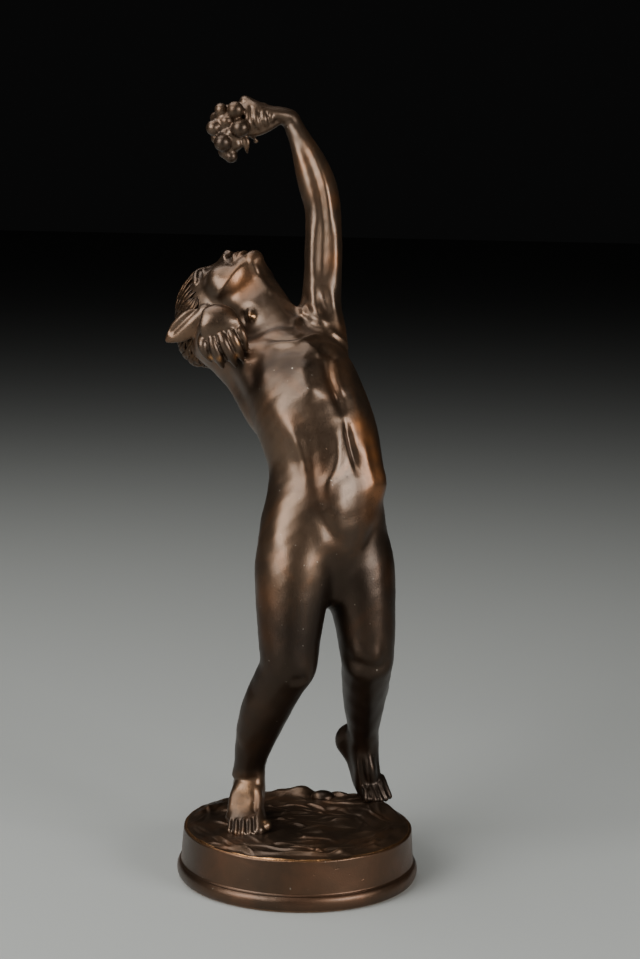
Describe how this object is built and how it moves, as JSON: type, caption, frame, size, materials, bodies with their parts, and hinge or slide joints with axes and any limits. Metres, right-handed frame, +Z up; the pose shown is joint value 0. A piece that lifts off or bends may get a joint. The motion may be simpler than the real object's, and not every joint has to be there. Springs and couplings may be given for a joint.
{
  "type": "faun statue",
  "caption": "Bronze statuette of a child faun bent back on a round moulded base, one arm raised with a bunch of grapes, the other bent to the brow.",
  "frame": {"origin": "centre of the base's flat underside", "axes": "+Z up through the figure; the front, as the picture sees it, looks along -Y; +X is the viewer's right"},
  "size_m": [0.1301, 0.1602, 0.3816],
  "materials": {
    "figure_bronze": "dark brown patinated bronze, waxed, rubbed bright on high points",
    "base_bronze": "dark red-brown patinated bronze, satin"
  },
  "bodies": {
    "root": {"faun": "figure_bronze", "base": "base_bronze"}
  },
  "joints": []
}
